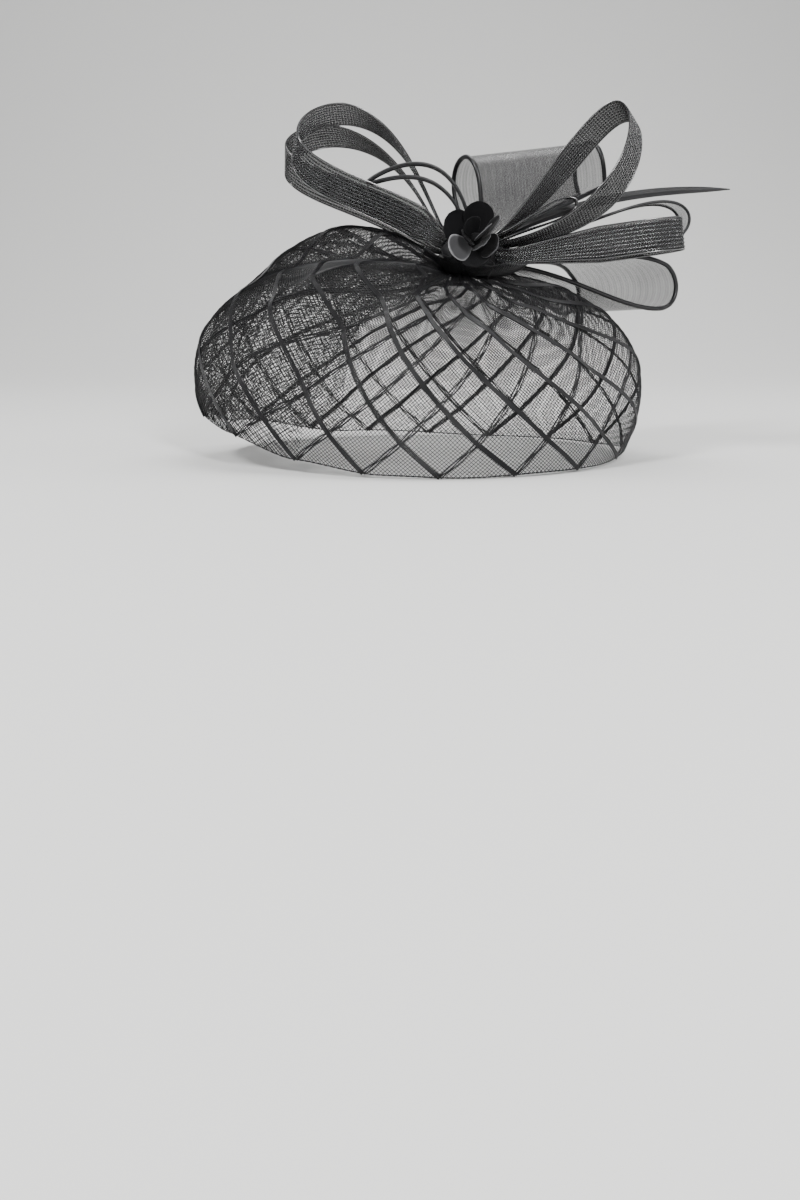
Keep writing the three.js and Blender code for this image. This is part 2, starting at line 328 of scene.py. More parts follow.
def joined(parts):
    """Several (points, faces) pairs as one."""
    starts = np.cumsum([0] + [len(p) for p, _ in parts])
    faces = [np.asarray(f) + start for (_, fs), start in zip(parts, starts) for f in fs]
    return np.concatenate([p for p, _ in parts]), faces


def tubes(paths, sides, normals, radius, corners=3):
    """Capped tubes along paths of shape (count, steps, 3); radius may be a number or an array."""
    count, steps, _ = paths.shape
    turn = 2 * np.pi * np.arange(corners) / corners
    radius = np.broadcast_to(np.asarray(radius, float), (count, steps))[..., None, None]
    ring = sides[:, :, None] * np.cos(turn)[:, None] + normals[:, :, None] * np.sin(turn)[:, None]
    points = (paths[:, :, None] + ring * radius).reshape(-1, 3)
    index = np.arange(count * steps * corners).reshape(count, steps, corners)
    after = np.roll(index, -1, axis=2)
    quads = np.stack([index[:, :-1], after[:, :-1], after[:, 1:], index[:, 1:]], -1).reshape(-1, 4)
    caps = np.concatenate([index[:, 0, ::-1], index[:, -1]])
    return points, [quads, caps]


print("tube helpers ready")


# %% Strips
def quad(a, b, c, d):
    return np.stack([a, b, c, d], -1).reshape(-1, 4)


def strip(points, thickness):
    """A closed strip of even thickness about a grid of points, and the grid's normals."""
    normals = unit(np.cross(np.gradient(points, axis=0), np.gradient(points, axis=1)))
    rows, columns, _ = points.shape
    shift = normals * thickness / 2
    both = np.concatenate([points + shift, points - shift]).reshape(-1, 3)
    top = np.arange(rows * columns).reshape(rows, columns)
    under = top + rows * columns
    faces = [
        quad(top[:-1, :-1], top[1:, :-1], top[1:, 1:], top[:-1, 1:]),
        quad(under[:-1, 1:], under[1:, 1:], under[1:, :-1], under[:-1, :-1]),
        quad(top[1:, 0], top[:-1, 0], under[:-1, 0], under[1:, 0]),
        quad(top[:-1, -1], top[1:, -1], under[1:, -1], under[:-1, -1]),
        quad(top[0, :-1], top[0, 1:], under[0, 1:], under[0, :-1]),
        quad(top[-1, 1:], top[-1, :-1], under[-1, :-1], under[-1, 1:]),
    ]
    return (both, [np.concatenate(faces)]), normals


print("strip helpers ready")

# %% [markdown]
# ## The net cap
# The cap is one piece of stiff net. It could be draped by a cloth simulation, but stiff net keeps the
# form it is bent to, so that form is written down as a function. The hem lies on an ellipse round the
# brow, and each line from the hem up to the gathered ring is one smooth curve with four control points.
# A table of folds moves those points, so the same function gives the smooth front, the two puffs at the
# brow and the back.

# %% Sizes and folds of the cap
hem_centre = (-14.0, 12.0)
hem_half = (97.0, 82.0)
hem_level = -85.0
ring_radius = 6.0
ring_height = 5.5
arc_handle = 0.55
gather_count = 14
gather_depth = 1.6

# flare and lift move the hem, puff moves the crown and the last two the shoulder, all in mm
fold_columns = "bearing flare lift puff shoulder_out shoulder_up".split()
fold_rows = np.array([
    (0, 3, 4, 0, 28, 16),
    (35, 2, 1, -6, 14, 6),
    (80, 1, 0, -8, 4, 0),
    (125, 4, 3, 10, 10, 6),
    (160, 14, 14, 62, 18, 22),
    (178, 22, 23, 18, 18, 24),
    (194, 14, 16, 26, 14, 10),
    (212, 3, 6, -6, 2, -8),
    (240, 1, 1, -17, 0, -9),
    (270, 1, 0, -17, 0, -9),
    (300, 1, 1, -17, 0, -9),
    (330, 1, 1, -10, 6, -2),
    (360, 3, 4, 0, 28, 16),
], float)
print("rows of folds:", len(fold_rows))


# %% The surface of the cap
def fold_at(bearing, column):
    """A column of the table of folds at any bearing, eased from row to row."""
    bearing = np.mod(bearing, 360)
    row = np.clip(np.searchsorted(fold_rows[:, 0], bearing, side="right") - 1, 0, len(fold_rows) - 2)
    here, after = fold_rows[row], fold_rows[row + 1]
    t = (bearing - here[..., 0]) / (after[..., 0] - here[..., 0])
    eased = t * t * (3 - 2 * t)
    place = fold_columns.index(column)
    return here[..., place] + (after[..., place] - here[..., place]) * eased


def hem_distance(angle):
    """The distance from the ring's axis to the hem's ellipse."""
    x, y = np.cos(angle) / hem_half[0], np.sin(angle) / hem_half[1]
    cx, cy = hem_centre[0] / hem_half[0], hem_centre[1] / hem_half[1]
    a, b, c = x * x + y * y, x * cx + y * cy, cx * cx + cy * cy - 1
    return (b + np.sqrt(b * b - a * c)) / a


def cap_point(bearing, down):
    """A point of the cap in millimetres: down is 0 at the ring and 1 at the hem."""
    angle = np.radians(bearing)
    hem_r = hem_distance(angle) + fold_at(bearing, "flare")
    hem_z = hem_level + fold_at(bearing, "lift")
    crown_r = ring_radius + arc_handle * (hem_r - ring_radius)
    crown_z = ring_height + fold_at(bearing, "puff")
    shoulder_r = hem_r + fold_at(bearing, "shoulder_out")
    shoulder_z = hem_z + arc_handle * (ring_height - hem_z) + fold_at(bearing, "shoulder_up")
    up = 1 - down
    w0, w1, w2, w3 = up ** 3, 3 * up * up * down, 3 * up * down * down, down ** 3
    r = w0 * ring_radius + w1 * crown_r + w2 * shoulder_r + w3 * hem_r
    z = w0 * ring_height + w1 * crown_z + w2 * shoulder_z + w3 * hem_z
    gather = gather_depth * np.sin(np.pi * np.sqrt(down)) ** 2 * up
    return np.stack([r * np.cos(angle), r * np.sin(angle), z + gather * np.cos(gather_count * angle)], -1)


print("front of the hem at", cap_point(np.array(270.0), np.array(1.0)).round(1), "mm")

# %% Normals of the cap
bearing_step = 0.2
down_step = 0.004


def cap_normal(bearing, down):
    round_step = cap_point(bearing + bearing_step, down) - cap_point(bearing - bearing_step, down)
    low, high = np.clip(down - down_step, 0, 1), np.clip(down + down_step, 0, 1)
    return unit(np.cross(cap_point(bearing, high) - cap_point(bearing, low), round_step))


print("front of the net faces", cap_normal(np.array(270.0), np.array(0.5)).round(2))

# %% Measure the cloth along the cap
down_samples = 161
whole_degrees = np.arange(361)
grid_down = np.linspace(1, 0, down_samples)
grid = cap_point(np.arange(0, 360, 1.0)[:, None], grid_down[None, :])
climbs = np.cumsum(np.linalg.norm(np.diff(grid, axis=1), axis=2), axis=1)
arc_up = np.concatenate([np.zeros((360, 1)), climbs], 1)
hem_steps = np.linalg.norm(np.roll(grid[:, 0], -1, axis=0) - grid[:, 0], axis=1)
hem_arc = np.concatenate([[0], np.cumsum(hem_steps)])
print("hem length", hem_arc[-1].round(), "mm")
print("hem to ring", arc_up[:, -1].min().round(), "to", arc_up[:, -1].max().round(), "mm")

# %% [markdown]
# ## Threads of the net
# Window-pane net is a fine diagonal mesh with heavier bands, also diagonal, that cross in large panes.
# It could be a pattern of holes on a plain sheet, but that would look flat from the side, so every
# thread is a thin tube. A thread climbs from the hem at a slant, one row of panes for each half pane
# that it moves round.

# %% Panes
panes_round = 17
threads_per_pane = 17
pane_start_bearing = 260.2
drift = 0.3
drift_growth = 0.114
drift_rows = 7
row_heights = [0, 14.9, 32.6, 51.3, 69.3, 85.0, 96.8, 112, 128, 144, 160, 176, 192, 208]
last_row = len(row_heights) - 1


def height_of(row):
    """The height in mm up the cloth of a row of panes."""
    return np.interp(row, np.arange(last_row + 1), row_heights)


def bearing_of(panes, row):
    """The bearing of a place that is so many panes round the hem and so many rows up."""
    start = np.interp(pane_start_bearing, whole_degrees, hem_arc)
    along = np.mod(start + panes * hem_arc[-1] / panes_round, hem_arc[-1])
    risen = np.minimum(row, drift_rows)
    return np.interp(along, hem_arc, whole_degrees) - drift * risen - drift_growth * risen ** 2


print("width of a pane at the hem:", (hem_arc[-1] / panes_round).round(1), "mm")


# %% Heights on the cloth
def arcs_at(bearing):
    """Lengths up the cloth from the hem to every sample of the cap's line at a bearing."""
    low = np.floor(np.mod(bearing, 360)).astype(int) % 360
    share = np.mod(bearing, 1)[..., None]
    return arc_up[low] * (1 - share) + arc_up[(low + 1) % 360] * share


def down_at(bearing, height):
    """The cap's down value at a height in mm up the cloth from the hem."""
    arcs = arcs_at(bearing)
    place = np.clip((arcs < height[..., None]).sum(-1), 1, len(grid_down) - 1)
    before = np.take_along_axis(arcs, place[..., None] - 1, -1)[..., 0]
    after = np.take_along_axis(arcs, place[..., None], -1)[..., 0]
    part = np.clip((height - before) / np.maximum(after - before, tiny), 0, 1)
    return grid_down[place - 1] + (grid_down[place] - grid_down[place - 1]) * part


print("cloth at the front is", arcs_at(np.array([270.0]))[0, -1].round(), "mm high")

# %% Paths of the threads
thread_steps = 40
samples_per_row = 20


def thread_paths(first_panes, slant, steps):
    """Bearing and down along threads that start on the hem at first_panes and lean by slant."""
    rows = np.linspace(0, last_row, samples_per_row * last_row + 1)
    bearing = bearing_of(first_panes[:, None] + slant * rows / 2, rows)
    full = arcs_at(bearing)[..., -1]
    last = rows[np.argmax(height_of(rows) >= full, axis=1)]
    climb = np.linspace(0, 1, steps)[None, :] * last[:, None]
    bearing = bearing_of(first_panes[:, None] + slant * climb / 2, climb)
    return bearing, down_at(bearing, height_of(climb))


print("threads each way:", panes_round * threads_per_pane)

# %% [markdown]
# Near the ring there is no room for a whole band, so neighbours draw together there and threads thin.

# %% Tubes for the threads
squeeze_from, least_squeeze = 26, 0.25
thin_from, least_thin = 38, 0.5
wave_step = 1.1
wave_shift = 7.3
alone = ((0, 0, 0),)


def thread_tubes(first_panes, slant, radius, lift, aside=alone, steps=thread_steps):
    """Tubes for a family of threads. Each row of aside is a neighbour: its distance, and the depth and
    the start of the slow wave that it makes beside the thread."""
    bearing, down = thread_paths(np.asarray(first_panes, float), slant, steps)
    paths = cap_point(bearing, down)
    normals = cap_normal(bearing, down)
    tangents = unit(np.gradient(paths, axis=1))
    across = unit(np.cross(normals, tangents))
    from_ring = np.linalg.norm(paths[..., :2], axis=-1)
    squeeze = np.clip(from_ring / squeeze_from, least_squeeze, 1)[..., None]
    thin = radius * np.clip(from_ring / thin_from, least_thin, 1)
    along = np.arange(steps)[None, :, None] + wave_shift * np.arange(len(bearing))[:, None, None]
    parts = []
    for distance, depth, start in aside:
        offset = (distance + depth * np.sin(wave_step * along + start)) * squeeze
        parts.append(tubes(paths + across * offset + normals * lift, across, normals, thin))
    return joined(parts)


print("threads thin within", thin_from, "mm of the ring's axis")

# %% Fine mesh
fine_radius = 0.17
fine_starts = np.arange(panes_round * threads_per_pane) / threads_per_pane
fine_mesh = joined([
    thread_tubes(fine_starts, 1, fine_radius, fine_radius),
    thread_tubes(fine_starts, -1, fine_radius, -fine_radius),
])
veil = new_piece("veil_net", fine_mesh, ["veil"])
print("fine mesh triangles:", triangles_of(veil))

# %% [markdown]
# The bands that lean one way are five cords laid close, and look solid. Those that lean the other way
# are three cords with gaps, which drift together and apart. A flat strip would be simpler, but each cord
# catches its own line of light.

# %% Bands
band_steps = 80
close_radius, close_lift = 0.3, 0.5
open_radius, open_lift = 0.37, -0.4
close_pitch, close_depth = 0.45, 0.05
close_cords = [(close_pitch * k, close_depth, k) for k in (-2, -1, 0, 1, 2)]
open_cords = [(-0.85, 0.16, 0.0), (0.0, 0.28, 2.0), (0.85, 0.16, 4.0)]
band_starts = np.arange(panes_round)
bands = joined([
    thread_tubes(band_starts, -1, close_radius, close_lift, close_cords, band_steps),
    thread_tubes(band_starts, 1, open_radius, open_lift, open_cords, band_steps),
])
veil_bands = new_piece("veil_bands", bands)
print("band triangles:", triangles_of(veil_bands))

# %% [markdown]
# Over the brow the net is folded double. A second copy of the cap would lie too evenly, so the inner
# layer is crumpled: waves push its threads in and out, and the small ridges catch the light in rows of
# bright specks.

# %% Sizes of the folded layer
layer_from, layer_to = 126.0, 214.0
layer_threads_per_pane = 13
layer_radius = 0.25
layer_steps = 100
layer_top_row = 8.5
layer_samples, least_samples = 400, 50
layer_rows = np.linspace(0, layer_top_row, layer_samples)
fine_ridge, fine_ridge_lean = 3.2, 9
wide_ridge, wide_ridge_lean, wide_ridge_share = 14, 21, 0.6
layer_inset, ridge_depth = 3.2, 1.2
inset_height, least_inset = 24, 0.15
print("folded layer spans", layer_to - layer_from, "degrees")


# %% Folded layer
def layer_insets(bearing, height):
    """How far the crumpled layer lies inside the cap; at the hem it comes close to the cap."""
    fine = np.sin(2 * np.pi * bearing / fine_ridge + height / fine_ridge_lean)
    wide = np.sin(2 * np.pi * bearing / wide_ridge - height / wide_ridge_lean)
    ridges = fine + wide_ridge_share * wide
    return (layer_inset + ridge_depth * ridges) * np.clip(height / inset_height, least_inset, 1)


def layer_threads(slant):
    starts = np.arange(panes_round * layer_threads_per_pane) / layer_threads_per_pane
    bearing = bearing_of(starts[:, None] + slant * layer_rows / 2, layer_rows)
    inside = (bearing > layer_from) & (bearing < layer_to)
    long_enough = inside.sum(1) > least_samples
    starts, inside = starts[long_enough], inside[long_enough]
    first = layer_rows[inside.argmax(1)][:, None]
    last = layer_rows[layer_samples - 1 - inside[:, ::-1].argmax(1)][:, None]
    climb = first + (last - first) * np.linspace(0, 1, layer_steps)
    height = height_of(climb)
    bearing = bearing_of(starts[:, None] + slant * climb / 2, climb)
    down = down_at(bearing, height)
    normals = cap_normal(bearing, down)
    paths = cap_point(bearing, down) - normals * layer_insets(bearing, height)[..., None]
    across = unit(np.cross(normals, np.gradient(paths, axis=1)))
    return tubes(paths, across, normals, layer_radius)


veil_fold = new_piece("veil_fold", joined([layer_threads(1), layer_threads(-1)]))
print("folded layer triangles:", triangles_of(veil_fold))

# %% [markdown]
# The hem is a cord of two plies that wind round each other, a full turn in every four degrees. One round
# tube would shine in an unbroken line, and two plies break that line up.

# %% Hem
hem_samples = 541
hem_turning = np.radians(90)
hem_wind_radius, hem_ply_radius = 0.16, 0.22
hem_corners = 4
hem_bearing = np.linspace(0, 360, hem_samples)[None, :]
hem_path = cap_point(hem_bearing, np.ones_like(hem_bearing))
hem_normal = cap_normal(hem_bearing, np.ones_like(hem_bearing))
hem_side = unit(np.cross(np.gradient(hem_path, axis=1), hem_normal))
hem_plies = []
for ply in (0, np.pi):
    wind = hem_bearing[..., None] * hem_turning + ply
    around = hem_normal * np.cos(wind) + hem_side * np.sin(wind)
    ply_path = hem_path + around * hem_wind_radius
    hem_plies.append(tubes(ply_path, hem_side, hem_normal, hem_ply_radius, hem_corners))
veil_hem = new_piece("veil_hem", joined(hem_plies))
print("hem triangles:", triangles_of(veil_hem))

# %% [markdown]
# ## The gathered top of the net
# Above the ring the gathered net isn't cut off: a short frill of it crumples against the tie. A plain
# collar would look cut, so the frill is threads on a collar whose height and folds change round the
# ring. It stands highest where it is free, at the left, is pressed down under the flower and spreads
# low at the right.

# %% Form of the frill
frill_root, frill_base = 5.6, 4.6
frill_width, frill_height, frill_droop = 6.5, 2, 3
free_bearing, free_width, free_height = 215, 8, 12.5
free_middle, free_swing, free_least = 0.75, 0.35, 0.3
flower_bearing, flower_spread, flower_press = 280, 32, 0.55
right_bearing, right_width, right_drop = 345, 16, 0.25
wide_folds, uneven_folds, fold_width, fold_height = 7, 1.6, 1.6, 0.4
small_folds, small_fold_share = 17, 0.5


def frill_point(bearing, out):
    """A point of the frill: out is 0 at the ring and 1 at the free rim."""
    angle = np.radians(bearing)
    under_flower = np.exp(-((np.mod(bearing, 360) - flower_bearing) / flower_spread) ** 2)
    freedom = free_middle + free_swing * np.cos(angle - np.radians(free_bearing))
    free = np.clip(freedom, free_least, 1) * (1 - flower_press * under_flower)
    wide = np.sin(wide_folds * angle + uneven_folds * np.sin(2 * angle))
    folds = wide + small_fold_share * np.sin(small_folds * angle + 1)
    at_right = np.clip(np.cos(angle - np.radians(right_bearing)), 0, 1) ** 4
    r = frill_root + out * (frill_width + right_width * at_right + free_width * free + fold_width * folds)
    height = frill_height + free_height * free
    rise = out ** (1 + 2 * at_right) * height * (1 - right_drop * at_right) - out ** 3 * frill_droop * free
    z = frill_base + rise + out * (fold_height + free) * folds
    return np.stack([r * np.cos(angle), r * np.sin(angle), z], -1)


print("rim of the frill at the left:", frill_point(np.array(180.0), np.array(1.0)).round(1), "mm")

# %% Frill
frill_threads, frill_steps = 150, 16
frill_slant = 34
frill_bearing_step = 0.5
frill_lift, frill_radius = 0.12, 0.16
frill_out = np.linspace(0, 1, frill_steps)[None, :]
frill_parts = []
for lean in (-1, 1):
    frill_starts = np.linspace(0, 360, frill_threads, endpoint=False)[:, None]
    frill_bearing = frill_starts + lean * frill_slant * frill_out
    paths = frill_point(frill_bearing, frill_out)
    around = frill_point(frill_bearing + frill_bearing_step, frill_out) - paths
    normals = unit(np.cross(around, np.gradient(paths, axis=1)))
    sides = unit(np.cross(np.gradient(paths, axis=1), normals))
    frill_parts.append(tubes(paths + normals * frill_lift * lean, sides, normals, frill_radius))
frill = new_piece("veil_frill", joined(frill_parts))
print("frill triangles:", triangles_of(frill))

# %% [markdown]
# ## Ribbon loops
# A ribbon loop is a strip that leaves the tie, opens like a drop and comes back. A curve with a flat
# bevel would give a loop quickly. But the strip is drawn in at the tie and turns on its way, so each loop
# is a surface with its own function, whose width grows to the ribbon's own width on the way out.
# There are two ribbons: a braided one with twisted cords along it, and a sheer one with a stiff rim.

# %% Table of loops
loop_columns = "kind root aim reach spread bow width sway twist open_by open_back bulb".split()

# aim is bearing, rise, plane and tilt in degrees; open_by and open_back are the parts of the reach
# where the outgoing and the returning branch have their full width
loop_rows = {
    "left_front": ("braid", (-7, 0, 20), (175, 40, 38, -11), 90, 43, 8, 17, -10, 30, 0.9, 0.2, 2),
    "left_back": ("braid", (-7, 6, 15.5), (171, 37, 40, -15), 96, 35, 12, 17, -12, 30, 0.9, 0.2, 2),
    "left_thin": ("sheer", (4, 4.5, 25), (180, 25, 0, 0), 56, 5, 17, 9, 0, 0, 0.7, 0.7, 1),
    "centre_wide": ("sheer", (10, 7, 20), (122, 82, -6, 7), 42, 24, -2, 74, 35, 0, 0.45, 0.45, 1),
    "right_upper": ("braid", (18, 3, 20), (358, 39.5, -40, -5), 85, 30, -11, 17, 3, 0, 0.6, 0.6, 1),
    "right_curl": ("braid", (18, -2.5, 22.5), (0, 25, 0, 0), 41, 7, 0, 6, 0, 0, 0.7, 0.7, 3),
    "right_middle": ("braid", (18, -4, 13), (355, 7.5, 84, 0), 89, 14, 0, 15, 0, 0, 0.55, 0.55, 2),
    "right_thin": ("sheer", (18, 8, 17), (14, 9, -3, -8), 96, 20, -1, 17, 1, 0, 0.6, 0.6, 3),
    "right_wide": ("sheer", (18, 6, 12), (28, -11, -4, 5), 87, 23, 2, 74, 2, 0, 0.9, 0.9, 3),
}
loops = {name: dict(zip(loop_columns, row)) for name, row in loop_rows.items()}
print("loops:", len(loops))


# %% The form of a loop
def loop_frame(aim):
    """Unit vectors along the loop's axis, across its opening and along the ribbon's width."""
    h, e, p, t = np.radians(aim)
    axis = np.array([np.cos(e) * np.cos(h), np.cos(e) * np.sin(h), np.sin(e)])
    upward = np.array([-np.sin(e) * np.cos(h), -np.sin(e) * np.sin(h), np.cos(e)])
    level = np.cross(axis, upward)
    opening = upward * np.cos(p) + level * np.sin(p)
    width = level * np.cos(p) - upward * np.sin(p)
    return axis * np.cos(t) - width * np.sin(t), opening, width * np.cos(t) + axis * np.sin(t)


def drop_shape(turn, bulb):
    return np.sin(turn) * np.sin(turn / 2) ** bulb


def teardrop(turn, bulb):
    """The outline of a drop, 1 where it is widest; a larger bulb moves that place outwards."""
    widest = np.arccos(-bulb / (bulb + 2))
    return drop_shape(turn, bulb) / drop_shape(widest, bulb)


print("drop at a quarter turn:", teardrop(np.pi / 2, 1).round(2))

# %% The surface of a loop
tie_centre = Vector((6, 4, 17.5))
gathered_width = 5.0
root_gap = 3.0
pleat_width, pleat_depth = 7, 0.5
tuck_share, tuck_reach = 0.6, 0.1


def loop_surface(loop, turn, side):
    """Points of a loop: turn runs along the ribbon, side from -1 to 1 across it."""
    axis, opening, across = loop_frame(loop["aim"])
    width = loop["width"]
    out = (1 - np.cos(turn)) / 2
    opened = np.minimum(1, out / np.where(turn > np.pi, loop["open_back"], loop["open_by"]))
    half = (gathered_width + (width - gathered_width) * opened) / 2
    offset = loop["spread"] / 2 * teardrop(turn, loop["bulb"]) + root_gap / 2 * np.cos(turn / 2)
    offset = offset + loop["bow"] * 4 * out * (1 - out)
    pleats = max(2, round(width / pleat_width))
    crimp = pleat_depth * (1 - opened) * np.cos(np.pi * pleats * side)
    swing = np.radians(loop["twist"]) * np.cos(turn / 2)
    root = np.asarray(loop["root"], float)
    tucked = tuck_share * np.clip(1 - out / tuck_reach, 0, 1) ** 2
    tuck = (np.array(tie_centre) - root) * tucked[..., None]
    line = root + axis * (loop["reach"] * out)[..., None] + tuck
    swayed = loop["sway"] * np.minimum(1, out / loop["open_by"])
    line = line + opening * (offset + crimp)[..., None] + across * swayed[..., None]
    spread_way = across * np.cos(swing)[..., None] + opening * np.sin(swing)[..., None]
    return line + spread_way * (half * side)[..., None]


print("ribbon ends are drawn toward", list(tie_centre), "mm")

# %% [markdown]
# The braided ribbon has twisted cords along it. A bump pattern could draw them, but a winding ply gives
# its own row of bright dashes, so the plies are tubes. They need even steps along the ribbon, so its
# length is measured first.

# %% Lengths along a loop
root_turn = 0.32
turn_samples = 1200


def middle_line(loop):
    """Turn values along a loop, and the length of the ribbon's middle line up to each of them."""
    turn = np.linspace(root_turn, 2 * np.pi - root_turn, turn_samples)
    middle = loop_surface(loop, turn, 0 * turn)
    steps = np.linalg.norm(np.diff(middle, axis=0), axis=1)
    return turn, np.concatenate([[0], np.cumsum(steps)])


def even_turns(loop, steps):
    """Turn values that cut the ribbon's middle line into equal lengths, and those lengths."""
    turn, along = middle_line(loop)
    places = np.linspace(0, along[-1], steps + 1)
    return np.interp(places, along, turn), places


ribbon_lengths = {name: middle_line(loop)[1][-1] for name, loop in loops.items()}
print("ribbon lengths in mm:", {name: round(length) for name, length in ribbon_lengths.items()})

# %% Cords along a ribbon
cord_pitch = 1.8
cord_twist = 3.0
cord_step = 0.5
ply_radius = 0.31
steps_per_twist = 6
side_step = 0.02


def twisted_cords(loop, length):
    """The twisted cords of a braided ribbon: each is two plies wound round each other."""
    count = round(loop["width"] / cord_pitch)
    turn, along = even_turns(loop, int(length / cord_twist * steps_per_twist))
    sides = (np.arange(count) - (count - 1) / 2) * cord_pitch / (loop["width"] / 2)
    side_grid, turn_grid = np.meshgrid(sides, turn, indexing="ij")
    lines = loop_surface(loop, turn_grid, side_grid)
    across = unit(loop_surface(loop, turn_grid, side_grid + side_step) - lines)
    normals = unit(np.cross(np.gradient(lines, axis=1), across))
    starts = cord_step * np.arange(count)[:, None]
    parts = []
    for ply in (0, np.pi):
        wind = (2 * np.pi * along[None, :] / cord_twist + starts + ply)[..., None]
        around = normals * np.cos(wind) + across * np.sin(wind)
        parts.append(tubes(lines + around * ply_radius, across, normals, ply_radius))
    return joined(parts)


print("cords on a loop:", round(loops["left_front"]["width"] / cord_pitch))

# %% [markdown]
# Each ribbon is a thin strip with a cord along either rim, and the braided ones get their twisted cords
# as well. The cords are pieces of their own, so that they can have another finish than the cloth. A
# strip also carries the places along and across it, because its weave has to follow the bend.

# %% Ribbons
ribbon_thickness = 0.3
ribbon_steps = 140
wide_from = 20
wide_columns, narrow_columns = 37, 13
rim_radius = {"braid": 0.4, "sheer": 0.75}
wide_rim_radius = 1.15
rim_corners = 8
ribbons, ribbon_cords = {}, {}
for name, loop in loops.items():
    wide = loop["width"] > wide_from
    turn, along = even_turns(loop, ribbon_steps)
    side = np.linspace(-1, 1, wide_columns if wide else narrow_columns)
    points = loop_surface(loop, *np.meshgrid(turn, side, indexing="ij"))
    sheet, normals = strip(points, ribbon_thickness)
    rim_paths = np.stack([points[:, 0], points[:, -1]])
    rim_normals = np.stack([normals[:, 0], normals[:, -1]])
    rim_across = unit(np.cross(rim_normals, np.gradient(rim_paths, axis=1)))
    radius = wide_rim_radius if wide else rim_radius[loop["kind"]]
    threads = tubes(rim_paths, rim_across, rim_normals, radius, rim_corners)
    if loop["kind"] == "braid":
        threads = joined([threads, twisted_cords(loop, ribbon_lengths[name])])
    ribbons[name] = new_piece(f"ribbon_{name}", sheet, [f"loop_{name}"])
    ribbon_cords[name] = new_piece(f"cords_{name}", threads)
    flat = np.stack(np.broadcast_arrays(along[:, None], side * loop["width"] / 2, 0.0), -1)
    cloth = ribbons[name].data.attributes.new("cloth", "FLOAT_VECTOR", "POINT")
    cloth.data.foreach_set("vector", np.concatenate([flat, flat]).astype(np.float32).ravel())
    print(name, "triangles", triangles_of(ribbons[name]), "and", triangles_of(ribbon_cords[name]))

# %% [markdown]
# ## Quill
# The quill is a feather stripped to a slim blade round its shaft. Its barbs could be single hairs, but
# they lie too close to be seen apart, so it is one blade. A cube is cut into steps, and every corner is
# then carried to its place along, across and through the blade.

# %% Start of the quill
quill_cuts = 11
bpy.ops.object.select_all(action="DESELECT")
bpy.ops.mesh.primitive_cube_add(size=1)
quill = bpy.context.object
quill.name = "quill_blade"
bpy.ops.object.mode_set(mode="EDIT")
bpy.ops.mesh.subdivide(number_cuts=quill_cuts)
bpy.ops.object.mode_set(mode="OBJECT")
print("quill start faces:", len(quill.data.polygons))

# %% Shape the quill
quill_root = Vector((14, 7, 20))
quill_reach, quill_rise, quill_width, quill_bend = 118.0, 26.0, 4.6, 2.5
root_width, widening, tip_width = 0.35, 2, 0.12
shaft_height, shaft_width, shaft_taper = 0.55, 0.3, 0.7
blade_crown, blade_edge = 0.35, 0.12
blade_taper, least_blade = 0.6, 0.4


def quill_place(corner):
    """Carries a corner of the unit cube to the blade: x along it, z across it, y through it."""
    out = corner.x + 0.5
    rise = quill_rise * (1 - (1 - out) ** quill_bend)
    swell = min(1, root_width + widening * out) * math.sqrt(1 - out ** 4)
    half = quill_width / 2 * max(tip_width, swell)
    edge = abs(corner.z) * 2
    shaft = shaft_height * max(0, 1 - edge / shaft_width) * (1 - shaft_taper * out)
    blade = blade_crown * (1 - edge) + blade_edge + shaft
    thick = blade * max(least_blade, 1 - blade_taper * out)
    return quill_root + Vector((quill_reach * out, corner.y * 2 * thick, rise + corner.z * 2 * half))


for vertex in quill.data.vertices:
    vertex.co = quill_place(vertex.co) * MM
smoother = quill.modifiers.new("smoother", "SUBSURF")
smoother.levels = smoother.render_levels = 1
bpy.context.view_layer.objects.active = quill
bpy.ops.object.modifier_apply(modifier="smoother")
bpy.ops.object.shade_smooth()
settle(quill, ["quill"])
print("quill triangles:", triangles_of(quill))

# %% [markdown]
# ## Flower
# The flower is a rolled bud with two rings of velvet petals, six large ones that lie open and four small
# ones that stand round the bud. One petal could be copied round, but cut petals all bend a little
# differently, so each has a row in a table. It starts as a flat grid, is bent to its cup and gets its
# thickness from a modifier.

# %% Table of petals
petal_columns = "bearing lean turn length width cup raised".split()

# the first six lie open in a ring, the last four stand round the bud
petal_rows = [
    (85, 70, 12, 17.5, 15.5, 2.0, 0),
    (146, 68, 6, 17.5, 16.5, 2.0, 0),
    (208, 64, -8, 15.5, 14.0, 2.4, 1),
    (272, 60, 10, 17.0, 15.0, 2.0, 0),
    (328, 47, 12, 15.5, 13.0, 1.6, 0),
    (32, 52, -50, 16.5, 11.0, 1.6, 0),
    (116, 46, 15, 11.0, 11.0, 1.6, 3),
    (196, 40, 18, 10.0, 10.0, 1.6, 3),
    (306, 32, 9, 13.0, 11.5, 1.4, 2),
    (10, 24, -55, 12.0, 12.5, 1.4, 3),
]
petal_shapes = [dict(zip(petal_columns, row)) for row in petal_rows]
print("petals in the table:", len(petal_shapes))

# %% Places of the petals
flower_base = Vector((6, -8.5, 20))
flower_axis = Vector((0, -0.95, 0.3)).normalized()


def flower_pose(bearing, raise_by):
    stand = Vector((0, 0, 1)).rotation_difference(flower_axis).to_matrix().to_4x4()
    turned = Matrix.Rotation(math.radians(bearing), 4, "Z")
    return Matrix.Translation(flower_base) @ stand @ Matrix.Translation((0, 0, raise_by)) @ turned


def petal_pose(shape):
    lean = Matrix.Rotation(math.radians(shape["lean"] - 90), 4, "Y")
    turn = Matrix.Rotation(math.radians(shape["turn"]), 4, "X")
    return flower_pose(shape["bearing"], shape["raised"]) @ lean @ turn


print("flower faces", [round(x, 2) for x in flower_axis])

